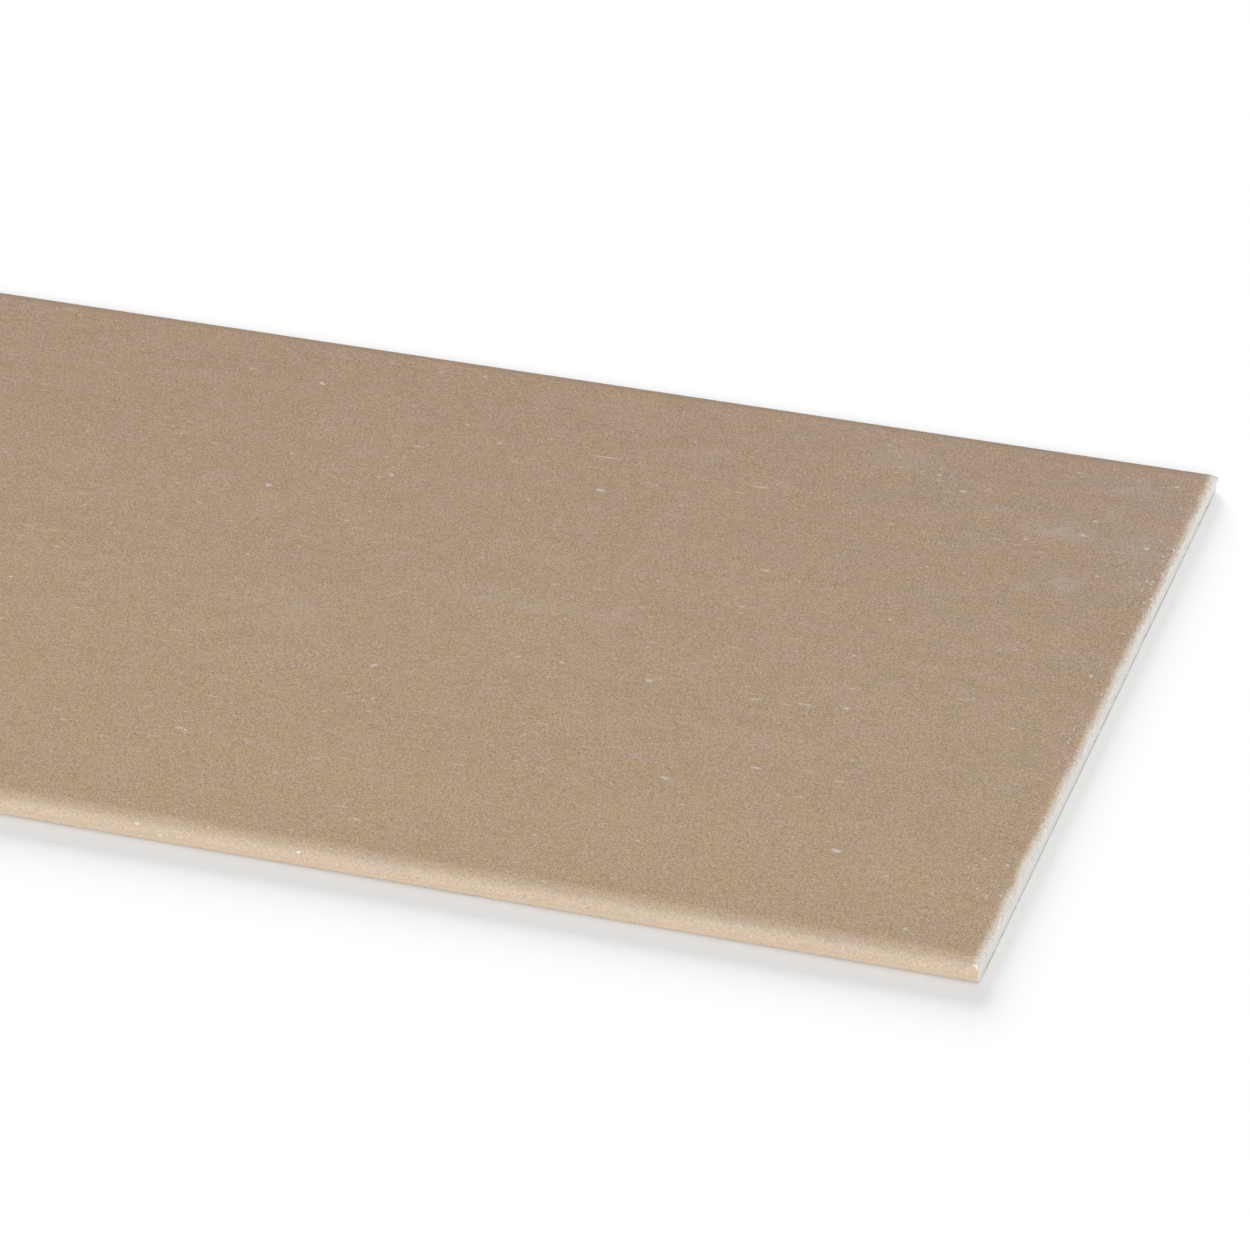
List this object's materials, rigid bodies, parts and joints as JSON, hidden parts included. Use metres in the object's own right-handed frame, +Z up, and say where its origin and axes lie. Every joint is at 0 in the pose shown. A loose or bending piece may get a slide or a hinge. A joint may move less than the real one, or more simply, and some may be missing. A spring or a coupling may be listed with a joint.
{
  "type": "drywall sheet",
  "caption": "Long flat gypsum board with brown paper wrapped round two half-round long edges and a white core showing at both cut ends.",
  "frame": {"origin": "centre of the underside, on the floor that the sheet lies on", "axes": "+X along the length towards a cut end, +Y across the width, +Z up out of the face"},
  "size_m": [2, 0.4, 0.0095],
  "materials": {
    "gypsum": "matte",
    "face_paper": "matte",
    "back_paper": "matte"
  },
  "bodies": {
    "root": {"gypsum_core": "gypsum", "face_paper": "face_paper", "back_paper": "back_paper"}
  },
  "joints": []
}
